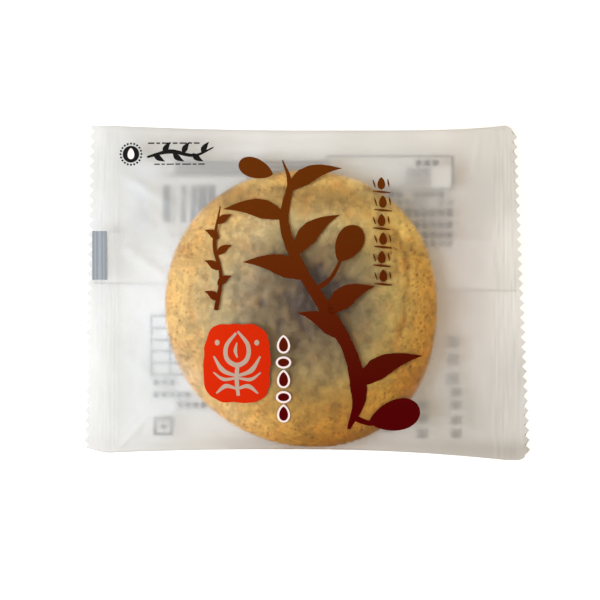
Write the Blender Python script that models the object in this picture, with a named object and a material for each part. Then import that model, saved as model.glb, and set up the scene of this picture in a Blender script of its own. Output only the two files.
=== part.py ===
"""A round sable cookie in its sealed clear film wrapper, lying flat on a table.

The wrapper is one solid: a tube of film pulled over the domed cookie, pressed flat and
crimped at both ends, cut with a zigzag knife, with the tube's long seam folded down as a
flap along the back.

Frame: metres, +Z up, origin on the table under the middle of the wrapper. +X runs along
the wrapper from end seal to end seal and +Y across it. The named sizes are millimetres.
"""

import math

import bpy

MM = 0.001

# The cookie that the film is pulled over
COOKIE_X = -1.1
COOKIE_Y = -3.9
COOKIE_RADIUS = 34.0
COOKIE_HEIGHT = 12.0
WAIST_HEIGHT = 4.6  # where the cookie is widest
BASE_RADIUS = 29.0  # of its flat underside
DOME_POWER = 3.2
DOME_ROUNDING = 0.62

# Film and its height at the folds beside the cookie
FILM = 0.4
FOLD_HEIGHT = 5.2
SAG = 1.18  # above 1 the free film hangs a little hollow

# Long folds: where they run beside the cookie, and how far they splay out by SPLAY_X, as
# (amount, power) towards the left and the right seal
SPLAY_X = 50.0
TOP_FOLD_Y = 40.5
TOP_SPLAY_LEFT = (1.35, 2.0)
TOP_SPLAY_RIGHT = (1.5, 5.0)
BOTTOM_FOLD_Y = -39.2
BOTTOM_SPLAY_LEFT = (1.1, 3.0)
BOTTOM_SPLAY_RIGHT = (2.75, 2.0)

# Worn corners: where each starts along X, and its depth for each square mm past that
TOP_RIGHT_CORNER = (49.4, 0.22)
BOTTOM_RIGHT_CORNER = (52.9, 0.25)
BOTTOM_LEFT_CORNER = (-48.4, 0.03)

# End seals: where each begins, and where the knife cuts, at the middle and per mm of +Y
LEFT_SEAL_X = -46.8
LEFT_CUT_X = -54.6
LEFT_CUT_SLOPE = 0.021
RIGHT_SEAL_X = 46.4
RIGHT_CUT_X = 53.85
RIGHT_CUT_SLOPE = -0.040
DROOP_START_X = 30.0
DROOP_END_X = 54.0
SEAL_DROOP = 1.5
SEAL_TWIST = 0.7
RIB_PITCH = 1.05
RIB_HEIGHT = 0.24
SEAL_SPARE = 2.2  # film past the cut, which the knife takes off

# Zigzag knife
TOOTH_PITCH = 2.45
TOOTH_DEPTH = 1.25
TOOTH_COUNT = 36
TOOTH_SHIFT = 1.03  # of the teeth along +Y
KNIFE_REACH = 9.0
KNIFE_BOTTOM = -1.0
KNIFE_TOP = 12.0

# Long seam, folded flat against the back
SEAM_Y = 1.2
SEAM_SLOPE = -0.019
FLAP_WIDTH = 12.8
FLAP_THICKNESS = 0.25
FLAP_STEP = 0.25  # width of the step at each of the flap's edges

# Grid of the film's two faces
BODY_COLUMNS = 38
LOWER_ROWS = 13
FLAP_ROWS = 3
UPPER_ROWS = 9
ROW_CROWDING = 0.8  # below 1 the lower rows crowd towards the fold
PROFILE_STEPS = 48
FOLD_SEARCH_STEPS = 6
FAR = 1.0e9


def smooth(value):
    """0 below 0, 1 above 1 and an even S-curve between."""
    value = min(max(value, 0.0), 1.0)
    return value * value * (3 - 2 * value)


def dome(radius):
    """Height of the cookie's upper surface at a distance from its middle."""
    share = min(radius / COOKIE_RADIUS, 1.0)
    rise = COOKIE_HEIGHT - WAIST_HEIGHT
    return WAIST_HEIGHT + rise * (1 - share**DOME_POWER) ** DOME_ROUNDING


def underside(radius):
    """Height of the cookie's lower surface: flat, then a quarter round up to its waist."""
    if radius <= BASE_RADIUS:
        return 0.0
    share = min((radius - BASE_RADIUS) / (COOKIE_RADIUS - BASE_RADIUS), 1.0)
    return WAIST_HEIGHT * (1 - math.sqrt(1 - share * share))


def splay(x, left, right):
    amount, power = left if x < 0 else right
    return amount * min(abs(x) / SPLAY_X, 1.0) ** power


def corner(x, start_and_depth):
    """How far a worn corner bends in at x."""
    start, depth = start_and_depth
    past = max((x - start) * math.copysign(1.0, start), 0.0)
    return depth * past**2


def top_fold(x):
    y = TOP_FOLD_Y + splay(x, TOP_SPLAY_LEFT, TOP_SPLAY_RIGHT)
    return y - corner(x, TOP_RIGHT_CORNER)


def bottom_fold(x):
    y = BOTTOM_FOLD_Y - splay(x, BOTTOM_SPLAY_LEFT, BOTTOM_SPLAY_RIGHT)
    return y + corner(x, BOTTOM_LEFT_CORNER) + corner(x, BOTTOM_RIGHT_CORNER)


def left_cut(y):
    return LEFT_CUT_X + LEFT_CUT_SLOPE * y


def right_cut(y):
    return RIGHT_CUT_X + RIGHT_CUT_SLOPE * y


def seam(x):
    return SEAM_Y + SEAM_SLOPE * x


def middle_height(x, y):
    """Height of the sheet where the film's two faces meet, drooping towards both ends."""
    past = (abs(x) - DROOP_START_X) / (DROOP_END_X - DROOP_START_X)
    twist = SEAL_TWIST * math.copysign(1.0, x) * y / TOP_FOLD_Y
    return FOLD_HEIGHT - smooth(past) * (SEAL_DROOP + twist)


def frame_distance(angle):
    """Distance from the cookie's middle to the wrapper's folds and seals, along a ray."""
    along, across = math.cos(angle), math.sin(angle)
    reach = FAR
    if along > 0:
        reach = min(reach, (RIGHT_SEAL_X - COOKIE_X) / along)
    if along < 0:
        reach = min(reach, (LEFT_SEAL_X - COOKIE_X) / along)
    fold = top_fold if across > 0 else bottom_fold
    if across:
        guess = reach
        for _ in range(FOLD_SEARCH_STEPS):
            x = COOKIE_X + guess * along
            guess = min(reach, (fold(x) - COOKIE_Y) / across)
        reach = guess
    return reach


def pulled(radius, reach, edge, profile, side):
    """Height of film pulled straight from its edge to where it first meets the cookie.

    side is 1 for the upper face and -1 for the lower one.
    """
    best_slope, best_radius = -FAR, 0.0
    for step in range(PROFILE_STEPS + 1):
        contact = COOKIE_RADIUS * step / PROFILE_STEPS
        slope = side * (profile(contact) - edge) / (reach - contact)
        if slope > best_slope:
            best_slope, best_radius = slope, contact
    if radius <= best_radius:
        return profile(radius)
    share = min((radius - best_radius) / (reach - best_radius), 1.0)
    return edge + (profile(best_radius) - edge) * (1 - share) ** SAG


def face_height(x, y, side):
    """Height of the film's upper (side 1) or lower (side -1) face in the body."""
    across_x, across_y = x - COOKIE_X, y - COOKIE_Y
    radius = math.hypot(across_x, across_y)
    angle = math.atan2(across_y, across_x)
    reach = max(frame_distance(angle), radius)
    edge_x = COOKIE_X + reach * math.cos(angle)
    edge_y = COOKIE_Y + reach * math.sin(angle)
    edge = middle_height(edge_x, edge_y) + side * FILM / 2
    return pulled(radius, reach, edge, dome if side > 0 else underside, side)


def column_stations():
    """(zone, share along the zone, rib height) of each column, from left to right."""
    ribs = round((LEFT_SEAL_X - LEFT_CUT_X + SEAL_SPARE) / RIB_PITCH) * 2
    stations = []
    for step in range(ribs):
        stations.append(("left", step / ribs, RIB_HEIGHT * (step % 2)))
    for step in range(BODY_COLUMNS + 1):
        stations.append(("body", step / BODY_COLUMNS, 0.0))
    for step in range(1, ribs + 1):
        stations.append(("right", step / ribs, RIB_HEIGHT * (step % 2)))
    return stations


def row_shares():
    """(zone, share of the zone) of each row, from the bottom fold to the top fold."""
    rows = [("lower", step / LOWER_ROWS) for step in range(LOWER_ROWS + 1)]
    rows += [("flap", step / FLAP_ROWS) for step in range(FLAP_ROWS + 1)]
    rows += [("upper", step / UPPER_ROWS) for step in range(UPPER_ROWS + 1)]
    return rows


def row_y(zone, share, x):
    """Where a row crosses the column at x."""
    low, high = seam(x), seam(x) + FLAP_WIDTH
    if zone == "lower":
        crowded = 1 - (1 - share) ** ROW_CROWDING
        return bottom_fold(x) + (low - FLAP_STEP - bottom_fold(x)) * crowded
    if zone == "flap":
        return low + FLAP_WIDTH * share
    return high + FLAP_STEP + (top_fold(x) - high - FLAP_STEP) * share


def column_x(zone, share, y):
    if zone == "left":
        cut = left_cut(y) - SEAL_SPARE
        return cut + (LEFT_SEAL_X - cut) * share
    if zone == "right":
        cut = right_cut(y) + SEAL_SPARE
        return RIGHT_SEAL_X + (cut - RIGHT_SEAL_X) * share
    return LEFT_SEAL_X + (RIGHT_SEAL_X - LEFT_SEAL_X) * share


def film_faces():
    """Two grids of points, the film's lower and upper face, row by row."""
    lower, upper = [], []
    for row_zone, row_share in row_shares():
        low_row, up_row = [], []
        for zone, share, rib in column_stations():
            y = row_y(row_zone, row_share, column_x(zone, share, 0.0))
            x = column_x(zone, share, y)
            if zone == "body":
                up, low = face_height(x, y, 1), face_height(x, y, -1)
            else:
                middle = middle_height(x, y) + rib
                up, low = middle + FILM / 2, middle - FILM / 2
            if row_zone == "flap":
                low = max(low - FLAP_THICKNESS, 0.0)
            low_row.append((x * MM, y * MM, low * MM))
            up_row.append((x * MM, y * MM, up * MM))
        lower.append(low_row)
        upper.append(up_row)
    return lower, upper


def closed_sheet(lower, upper):
    """Points and triangles of the solid between two matching grids of points."""
    rows, columns = len(upper), len(upper[0])
    points = [p for row in lower for p in row] + [p for row in upper for p in row]
    lift = rows * columns

    def at(row, column):
        return row * columns + column

    faces = []
    for row in range(rows - 1):
        for column in range(columns - 1):
            a, b = at(row, column), at(row, column + 1)
            c, d = at(row + 1, column + 1), at(row + 1, column)
            faces += [(a, c, b), (a, d, c)]
            faces += [(a + lift, b + lift, c + lift), (a + lift, c + lift, d + lift)]
    rim = [at(0, column) for column in range(columns)]
    rim += [at(row, columns - 1) for row in range(1, rows)]
    rim += [at(rows - 1, column) for column in range(columns - 2, -1, -1)]
    rim += [at(row, 0) for row in range(rows - 2, 0, -1)]
    for start, end in zip(rim, rim[1:] + rim[:1]):
        faces += [(start, end, end + lift), (start, end + lift, start + lift)]
    return points, faces


def add_object(name, points, faces):
    mesh = bpy.data.meshes.new(name)
    mesh.from_pydata(points, [], faces)
    mesh.update()
    obj = bpy.data.objects.new(name, mesh)
    bpy.context.scene.collection.objects.link(obj)
    return obj


def knife(name, cut, outward):
    """Prism whose zigzag side lies along one end's cut; outward is -1 left and 1 right."""
    outline = []
    for step in range(2 * TOOTH_COUNT + 1):
        y = (step - TOOTH_COUNT) * TOOTH_PITCH / 2 + TOOTH_SHIFT
        tip = TOOTH_DEPTH / 2 if step % 2 else -TOOTH_DEPTH / 2
        outline.append((cut(y) + outward * tip, y))
    far = cut(0.0) + outward * KNIFE_REACH
    outline += [(far, outline[-1][1]), (far, outline[0][1])]
    if outward > 0:
        outline.reverse()
    count = len(outline)
    points = [(x * MM, y * MM, KNIFE_BOTTOM * MM) for x, y in outline]
    points += [(x * MM, y * MM, KNIFE_TOP * MM) for x, y in outline]
    faces = [tuple(reversed(range(count))), tuple(range(count, 2 * count))]
    for start in range(count):
        end = (start + 1) % count
        faces.append((start, end, end + count, start + count))
    obj = add_object(name, points, faces)
    obj.hide_render = True
    obj.display_type = "WIRE"
    return obj


def film_material():
    """Frosted film with the cookie's colour showing through."""
    material = bpy.data.materials.new("frosted_film")
    material.use_nodes = True
    shader = material.node_tree.nodes["Principled BSDF"]
    shader.inputs["Base Color"].default_value = (0.78, 0.70, 0.56, 1.0)
    shader.inputs["Roughness"].default_value = 0.38
    shader.inputs["Metallic"].default_value = 0.0
    return material


def sealed_pack():
    """The film round the cookie, trimmed by the knife at both ends."""
    pack = add_object("sealed_pack", *closed_sheet(*film_faces()))
    pack.data.materials.append(film_material())
    ends = (("knife_left", left_cut, -1), ("knife_right", right_cut, 1))
    for name, cut, outward in ends:
        trim = pack.modifiers.new(name, "BOOLEAN")
        trim.operation = "DIFFERENCE"
        trim.solver = "EXACT"
        trim.object = knife(name, cut, outward)
    return pack


def main():
    for obj in list(bpy.data.objects):
        bpy.data.objects.remove(obj)
    sealed_pack()


main()
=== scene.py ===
from math import ceil, copysign, cos, hypot, pi, radians, sin

import bpy
import numpy as np
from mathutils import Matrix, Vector, noise


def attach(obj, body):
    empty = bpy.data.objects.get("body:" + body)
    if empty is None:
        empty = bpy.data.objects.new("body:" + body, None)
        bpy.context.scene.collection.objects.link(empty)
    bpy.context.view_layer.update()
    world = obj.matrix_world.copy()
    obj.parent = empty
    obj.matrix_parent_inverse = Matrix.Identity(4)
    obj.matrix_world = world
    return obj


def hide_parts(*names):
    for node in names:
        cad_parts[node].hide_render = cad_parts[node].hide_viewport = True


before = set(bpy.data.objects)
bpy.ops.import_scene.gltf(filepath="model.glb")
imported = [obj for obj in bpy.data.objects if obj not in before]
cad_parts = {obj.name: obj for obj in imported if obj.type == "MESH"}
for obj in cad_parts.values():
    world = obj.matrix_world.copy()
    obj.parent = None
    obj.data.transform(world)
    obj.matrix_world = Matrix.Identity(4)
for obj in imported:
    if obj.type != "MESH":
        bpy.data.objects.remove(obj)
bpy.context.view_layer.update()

# A round sable cookie in its sealed frosted film wrapper. Sizes are millimetres in the
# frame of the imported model: origin on the table, +X along the wrapper, +Z up.
MM = 0.001

# The cookie and the film pulled over it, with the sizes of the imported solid
COOKIE_X = -1.1
COOKIE_Y = -3.9
COOKIE_RADIUS = 34.0
COOKIE_HEIGHT = 12.0
WAIST_HEIGHT = 4.6
BASE_RADIUS = 29.0
DOME_POWER = 3.2
DOME_ROUNDING = 0.62
FOLD_HEIGHT = 5.2
SAG = 1.18
SPLAY_X = 50.0
TOP_FOLD_Y = 40.5
TOP_SPLAY = ((1.35, 2.0), (1.5, 5.0))
BOTTOM_FOLD_Y = -39.2
BOTTOM_SPLAY = ((1.1, 3.0), (2.75, 2.0))
TOP_RIGHT_CORNER = (49.4, 0.22)
BOTTOM_RIGHT_CORNER = (52.9, 0.25)
BOTTOM_LEFT_CORNER = (-48.4, 0.03)
LEFT_SEAL_X = -46.8
LEFT_CUT_X = -54.6
LEFT_CUT_SLOPE = 0.021
RIGHT_SEAL_X = 46.4
RIGHT_CUT_X = 53.85
RIGHT_CUT_SLOPE = -0.04
DROOP_START_X = 30.0
DROOP_END_X = 54.0
SEAL_DROOP = 1.5
SEAL_TWIST = 0.7
RIB_PITCH = 1.05
TOOTH_PITCH = 2.45
TOOTH_DEPTH = 1.25
TOOTH_SHIFT = 1.03
SEAM_Y = 1.2
SEAM_SLOPE = -0.019
FLAP_WIDTH = 12.8

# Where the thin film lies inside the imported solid
HALF_FILM = 0.06
TOP_CLEARANCE = 0.08
BOTTOM_CLEARANCE = 0.15
FLAP_CLEARANCE = 0.03
FLAP_FILM = 0.1
RIB_DEPTH = 0.045
CONTACT_GAP = 0.35
FREE_GAP = 4.0
RIM_VEIL = 0.45
RIM_VEIL_WIDTH = 0.8
FROST = 0.72
COOKIE_GAP = 0.35
COOKIE_BASE_GAP = 0.28
SINK_DEPTH = 1.6
SINK_RADIUS = 25.0
SINK_SLOPE = 20.0
FILM_GAP = 0.1
FOLD_TRIM = 0.001
OUTLINE_MEAN = 1.017
OUTLINE_BULGES = (
    # bulges round the edge, their height as a share of the radius and one's direction
    (1, 0.005, 4.0),
    (2, 0.0155, 120.0),
    (3, 0.013, 54.0),
    (4, 0.011, 40.5),
)
PROFILE_STEPS = 48
SETTLING_ROUNDS = 6
FAR = 1.0e9


# Film surface

def smooth(value):
    """0 below 0, 1 above 1 and an even S-curve between."""
    value = np.clip(value, 0.0, 1.0)
    return value * value * (3 - 2 * value)


def dome(radius):
    share = np.clip(radius / COOKIE_RADIUS, 0, 1)
    rise = COOKIE_HEIGHT - WAIST_HEIGHT
    return WAIST_HEIGHT + rise * (1 - share**DOME_POWER) ** DOME_ROUNDING


def underside(radius):
    share = np.clip((radius - BASE_RADIUS) / (COOKIE_RADIUS - BASE_RADIUS), 0, 1)
    return WAIST_HEIGHT * (1 - np.sqrt(1 - share * share))


def splay(x, sides):
    (left, left_power), (right, right_power) = sides
    share = np.minimum(np.abs(x) / SPLAY_X, 1.0)
    return np.where(x < 0, left * share**left_power, right * share**right_power)


def corner(x, start_and_depth):
    start, depth = start_and_depth
    return depth * np.maximum((x - start) * copysign(1.0, start), 0.0) ** 2


def top_fold(x):
    return TOP_FOLD_Y + splay(x, TOP_SPLAY) - corner(x, TOP_RIGHT_CORNER)


def bottom_fold(x):
    worn = corner(x, BOTTOM_LEFT_CORNER) + corner(x, BOTTOM_RIGHT_CORNER)
    return BOTTOM_FOLD_Y - splay(x, BOTTOM_SPLAY) + worn


def left_cut(y):
    return LEFT_CUT_X + LEFT_CUT_SLOPE * y


def right_cut(y):
    return RIGHT_CUT_X + RIGHT_CUT_SLOPE * y


def seam(x):
    return SEAM_Y + SEAM_SLOPE * x


def middle_height(x, y):
    past = (np.abs(x) - DROOP_START_X) / (DROOP_END_X - DROOP_START_X)
    twist = SEAL_TWIST * np.sign(x) * y / TOP_FOLD_Y
    return FOLD_HEIGHT - smooth(past) * (SEAL_DROOP + twist)


def frame_distance(along, across):
    """Distance from the cookie's middle to the folds and seals, along unit rays."""
    reach = np.full_like(along, FAR)
    right, left = along > 0, along < 0
    reach[right] = (RIGHT_SEAL_X - COOKIE_X) / along[right]
    reach[left] = (LEFT_SEAL_X - COOKIE_X) / along[left]
    level = np.abs(across) < 1e-9
    safe = np.where(level, 1.0, across)
    for _ in range(SETTLING_ROUNDS):
        x = COOKIE_X + reach * along
        fold = np.where(across > 0, top_fold(x), bottom_fold(x))
        reach = np.minimum(reach, np.where(level, FAR, (fold - COOKIE_Y) / safe))
    return reach


def pulled(x, y, side):
    """Height of the film's upper (side 1) or lower (side -1) face and how free it hangs."""
    across_x, across_y = x - COOKIE_X, y - COOKIE_Y
    radius = np.hypot(across_x, across_y)
    safe = np.maximum(radius, 1e-9)
    along, across = across_x / safe, across_y / safe
    reach = np.maximum(frame_distance(along, across), radius + 1e-6)
    middle = middle_height(COOKIE_X + reach * along, COOKIE_Y + reach * across)
    edge = middle + side * HALF_FILM
    contact = np.linspace(0, COOKIE_RADIUS, PROFILE_STEPS + 1)
    profile = dome(contact) - TOP_CLEARANCE if side > 0 else underside(contact) + BOTTOM_CLEARANCE
    slope = side * (profile - edge[..., None]) / (reach[..., None] - contact)
    best = np.argmax(slope, axis=-1)
    touch, height = contact[best], profile[best]
    share = np.clip((radius - touch) / (reach - touch), 0, 1)
    free = edge + (height - edge) * (1 - share) ** SAG
    on_cookie = np.interp(radius, contact, profile)
    return np.where(radius <= touch, on_cookie, free), np.where(radius <= touch, 0, share)


def ridge(x, y, start, end, height, width):
    """Soft ridge between two points, highest in its middle."""
    (x0, y0), (x1, y1) = start, end
    length = hypot(x1 - x0, y1 - y0)
    along = ((x - x0) * (x1 - x0) + (y - y0) * (y1 - y0)) / length**2
    across = ((x - x0) * (y1 - y0) - (y - y0) * (x1 - x0)) / length
    taper = np.sqrt(np.clip(4 * along * (1 - along), 0, 1))
    return height * taper * np.exp(-((across / width) ** 2))


# Creases of the front film: start, end, height and width
CREASES = (
    ((-48.2, -40.5), (-39.5, -31.0), 0.15, 0.9),
    ((-46.5, -36.0), (-41.5, -30.0), 0.06, 0.5),
    ((-44.0, -38.0), (-8.0, -36.0), 0.3, 1.1),
    ((-30.0, 36.6), (8.0, 36.8), 0.4, 1.2),
    ((43.4, 40.5), (42.0, 29.0), 0.3, 0.7),
    ((47.9, -42.6), (47.4, -35.0), 0.16, 0.35),
    ((45.6, -31.0), (45.0, -20.0), 0.14, 0.6),
    ((50.6, -33.0), (50.0, -22.0), 0.07, 0.4),
    ((49.0, 8.0), (48.8, 20.0), 0.06, 0.4),
    ((47.2, 24.0), (47.0, 36.0), 0.06, 0.5),
    ((-49.6, -38.0), (-49.9, -22.0), 0.06, 0.4),
    ((-51.2, 20.0), (-50.8, 36.0), 0.05, 0.5),
    ((38.0, 14.0), (48.0, 20.0), 0.25, 1.1),
    ((-46.0, 12.0), (-34.0, 3.0), 0.22, 1.5),
    ((-47.0, -14.0), (-38.0, -22.0), 0.1, 1.2),
    ((36.0, -30.0), (46.0, -37.0), 0.3, 1.6),
    ((-47.0, 30.0), (-33.0, 22.0), 0.22, 1.4),
)
LOOSE_WAVES = (
    # height, seed and size of the waves where the film hangs free
    (0.16, 3.0, 9.0),
    (0.05, 7.0, 2.6),
)
LOOSE_START = 0.35
LOOSE_END = 0.2


def noises(places, size, offset=(0, 0, 0), kind=noise.noise):
    """Noise at each of an array of places, smooth unless kind says another one."""
    moved = places / size + np.array(offset)
    return np.array([kind(Vector(place)) for place in moved.tolist()])


def waves(x, y, seed, size):
    """Smooth noise over the film."""
    flat = np.stack((x.ravel() / size, y.ravel() / size, np.full(x.size, seed)), axis=1)
    return noises(flat, 1.0).reshape(x.shape)


def ribs(x, y):
    """Crimped ribs of the end seals, pressed unevenly."""
    past = np.maximum(LEFT_SEAL_X - x, x - RIGHT_SEAL_X)
    wave = 0.5 - 0.5 * np.cos(2 * pi * past / RIB_PITCH)
    rib = np.round(past / RIB_PITCH)
    uneven = 0.45 + 0.55 * np.sin(y / 5.3 + 2.1 * rib) * np.sin(y / 8.1 + past)
    return RIB_DEPTH * np.where(x < 0, 0.6, 1.35) * wave * uneven * smooth(past / 0.6)


def film_height(x, y, side, wavy=True):
    """Height of the front (side 1) or back (side -1) film."""
    height, share = pulled(x, y, side)
    sealed = (x < LEFT_SEAL_X) | (x > RIGHT_SEAL_X)
    height = np.where(sealed, middle_height(x, y) + side * HALF_FILM, height)
    if wavy:
        loose = smooth(share / LOOSE_START) * smooth((1 - share) / LOOSE_END)
        loose = np.where(sealed, 0.0, loose)
        strength = 1 + 0.5 * smooth(x / 30)
        slack = sum(tall * waves(x, y, seed * side, size) for tall, seed, size in LOOSE_WAVES)
        height = height + loose * strength * slack
        if side > 0:
            folded = np.where(sealed, 1.0, smooth(share / LOOSE_START))
            inside = smooth(np.minimum(top_fold(x) - y, y - bottom_fold(x)) / 1.5)
            for crease in CREASES:
                height = height + folded * inside * ridge(x, y, *crease)
    return height + ribs(x, y)


def outline(along, across):
    """How far the cookie's uneven edge reaches, as a share of its even radius."""
    turn = np.arctan2(across, along)
    reach = OUTLINE_MEAN
    for count, height, direction in OUTLINE_BULGES:
        reach = reach + height * np.cos(count * (turn - radians(direction)))
    return reach


def even_radius(x, y):
    """Distance from the cookie's middle as if its edge were a circle."""
    across_x, across_y = x - COOKIE_X, y - COOKIE_Y
    return np.hypot(across_x, across_y) / outline(across_x, across_y)


def sink_share(radius):
    return smooth((SINK_RADIUS - radius) / SINK_SLOPE)


def cookie_top(radius):
    """Height of the cookie under the film, its middle sunken."""
    return dome(radius) - COOKIE_GAP - SINK_DEPTH * sink_share(radius)


def free_share(x, y):
    """0 where the front film lies on the cookie, up to 1 where it hangs well clear."""
    radius = even_radius(x, y)
    under = np.where(radius < COOKIE_RADIUS, cookie_top(radius), 0.0)
    veiled = RIM_VEIL + (1 - RIM_VEIL) * smooth(radius - COOKIE_RADIUS + RIM_VEIL_WIDTH)
    return veiled * smooth((film_height(x, y, 1, wavy=False) - under - CONTACT_GAP) / FREE_GAP)


def frost(x, y):
    """Roughness of the film: clearest over the cookie's edge, highest where it hangs free."""
    past_edge = even_radius(x, y) - COOKIE_RADIUS
    free = smooth((past_edge - 0.5) / 5.0)
    return FROST + 0.23 * free - 0.2 * np.exp(-((past_edge / 2.6) ** 2))


# Meshes

def new_object(name, data):
    piece = bpy.data.objects.new(name, data)
    bpy.context.scene.collection.objects.link(piece)
    return piece


def mesh_object(name, points, faces, material):
    """A smooth-shaded piece from points in millimetres."""
    mesh = bpy.data.meshes.new(name)
    mesh.from_pydata([tuple(c * MM for c in p) for p in points], [], faces)
    mesh.validate()
    mesh.update()
    mesh.shade_smooth()
    mesh.materials.append(material)
    piece = new_object(name, mesh)
    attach(piece, "root")
    return piece


def add_values(piece, name, values):
    """Stores one number for each point of a piece."""
    layer = piece.data.attributes.new(name, "FLOAT", "POINT")
    layer.data.foreach_set("value", np.asarray(values, np.float32))


def grid_faces(rows, columns, start=0, flip=False):
    faces = []
    for row in range(rows - 1):
        for column in range(columns - 1):
            a = start + row * columns + column
            quad = (a, a + 1, a + columns + 1, a + columns)
            faces.append(quad[::-1] if flip else quad)
    return faces


def grid_rim(rows, columns):
    """A grid's outer points, in order round it."""
    rim = list(range(columns))
    rim += [row * columns + columns - 1 for row in range(1, rows)]
    rim += [(rows - 1) * columns + column for column in range(columns - 2, -1, -1)]
    return rim + [row * columns for row in range(rows - 2, 0, -1)]


def neighbours(ring):
    """Each point of a closed ring with the next one."""
    return zip(ring, ring[1:] + ring[:1])


def film_piece(name, x, y, below, above, material):
    """A closed piece of two sheets over one grid, joined round their rim."""
    rows, columns = x.shape
    lift = rows * columns
    points = []
    for z in (below, above):
        points += zip(x.ravel(), y.ravel(), z.ravel())
    faces = grid_faces(rows, columns, 0, True) + grid_faces(rows, columns, lift)
    for start, end in neighbours(grid_rim(rows, columns)):
        faces.append((start, end, end + lift, start + lift))
    return mesh_object(name, points, faces, material)


# Film

FILM_TEETH = 33
ROWS_PER_TOOTH = 4
SEAL_COLUMNS = 34
BODY_COLUMNS = 150
CUT_COLUMNS = 6
CUT_REACH = 1.6
# Painted shade along the long folds: its width, and its strength at the top and the bottom fold
FOLD_SHADE_WIDTH = 6.0
TOP_SHADE = 0.1
BOTTOM_SHADE = 0.9
BOTTOM_SHADE_SLOPE = 0.009
PAINTED_LIGHT_PATCHES = (
    # middle, reach and strength of the painted light and painted shade patches that make the film
    # whiter or greyer
    ((-43.0, 26.0), (11.0, 12.0), -0.07),
    ((-2.0, 37.0), (15.0, 5.0), 0.17),
    ((38.0, 38.5), (16.0, 8.0), 0.15),
    ((50.5, 6.0), (5.0, 18.0), 0.17),
    ((42.0, -32.0), (12.0, 9.0), -0.09),
    ((-9.0, -39.0), (12.0, 3.0), -0.12),
    ((-53.0, -26.0), (4.0, 16.0), 0.07),
    ((-27.0, -37.0), (7.0, 4.0), 0.07),
)
PAINTED_WARM_SHADE_PLACES = (
    # middle, reach and strength of the places where painted shade makes the film look warmer
    ((38.0, 3.0), (9.0, 30.0), 1.0),
    ((6.0, -38.0), (30.0, 5.0), 0.9),
)
PAINTED_WARM_SHADE_TINT = (1.0, 0.95, 0.935)
# Painted highlights and shade along the seal ribs: their strength at the left and the right end,
# and their fineness
PAINTED_STREAK_STRENGTHS = (0.05, 0.11)
PAINTED_STREAK_FINENESS = 15.0


def tooth_wave(y):
    """-0.5 at the zigzag's notches and 0.5 at its tips."""
    phase = (y - TOOTH_SHIFT) / TOOTH_PITCH
    return 0.5 - 2 * np.abs(phase - np.floor(phase) - 0.5)


def end_rows(cut):
    """Shares from fold to fold of the rows at one cut end: one on each tip and notch."""
    low, high = bottom_fold(cut(-40.0)), top_fold(cut(40.0))
    pitch = TOOTH_PITCH / ROWS_PER_TOOTH
    first = ceil((low - TOOTH_SHIFT) / pitch + 0.3)
    count = FILM_TEETH * ROWS_PER_TOOTH - 2
    inner = TOOTH_SHIFT + (first + np.arange(count)) * pitch
    inner = inner[inner < high - 0.3 * pitch]
    return (inner - low) / (high - low)


def film_rows():
    """Shares from fold to fold of all rows at the left and at the right end."""
    ends = end_rows(left_cut), end_rows(right_cut)
    count = min(len(inner) for inner in ends)
    return [np.concatenate(([0.0], inner[:count], [1.0])) for inner in ends]


def film_columns():
    """Zone and share of each column: cut, seal, body, seal and cut."""
    counts = (CUT_COLUMNS, SEAL_COLUMNS, BODY_COLUMNS)
    cut, seal, body = (np.linspace(0, 1, count + 1) for count in counts)
    zones = (cut[:-1], seal[:-1], body, seal[1:], cut[1:])
    return [(zone, share) for zone, shares in enumerate(zones) for share in shares]


def column_x(zone, share, y, toothed=True):
    teeth = TOOTH_DEPTH * tooth_wave(y) if toothed else 0.0
    left, right = left_cut(y), right_cut(y)
    stops = (left - teeth, left + CUT_REACH, LEFT_SEAL_X)
    stops += (RIGHT_SEAL_X, right - CUT_REACH, right + teeth)
    start, end = stops[zone:zone + 2]
    return start + (end - start) * share + 0 * y


def film_grid():
    """X and Y of the film's grid, rows from the lower fold to the upper one."""
    left, right = film_rows()
    xs, ys = [], []
    for zone, share in film_columns():
        nominal = float(column_x(zone, share, 0.0))
        blend = np.clip((nominal - LEFT_CUT_X) / (RIGHT_CUT_X - LEFT_CUT_X), 0, 1)
        rows = left + (right - left) * blend
        low, high = bottom_fold(nominal), top_fold(nominal)
        for _ in range(SETTLING_ROUNDS):
            low = bottom_fold(column_x(zone, share, low, False))
            high = top_fold(column_x(zone, share, high, False))
        low, high = low + FOLD_TRIM, high - FOLD_TRIM
        y = low + (high - low) * rows
        xs.append(column_x(zone, share, y))
        ys.append(y)
    return np.array(xs).T, np.array(ys).T


def soft_places(x, y, places):
    """Sum of soft round places, each with its middle, reach and strength."""
    total = 0 * x
    for (middle_x, middle_y), (reach_x, reach_y), strength in places:
        off_x, off_y = (x - middle_x) / reach_x, (y - middle_y) / reach_y
        total = total + strength * np.exp(-off_x * off_x - off_y * off_y)
    return total


def painted_fold_shade(x, y):
    """Painted shade: how much greyer the film is made along its long folds."""
    from_top, from_bottom = top_fold(x) - y, y - bottom_fold(x)
    bottom = BOTTOM_SHADE + BOTTOM_SHADE_SLOPE * x
    strength = np.where(from_top < from_bottom, TOP_SHADE, bottom)
    return strength * smooth(1 - (np.minimum(from_top, from_bottom) - 0.5) / FOLD_SHADE_WIDTH)


def painted_rib_streaks(x, y):
    """Painted highlights and painted shade: whiter and greyer streaks along the ribs of the end
    seals.
    """
    sealed = smooth(np.maximum(LEFT_SEAL_X - x, x - RIGHT_SEAL_X) + 0.5)
    return sealed * (np.where(x < 0, *PAINTED_STREAK_STRENGTHS) * waves(x * PAINTED_STREAK_FINENESS, y, 13.0, 9.0))


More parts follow.
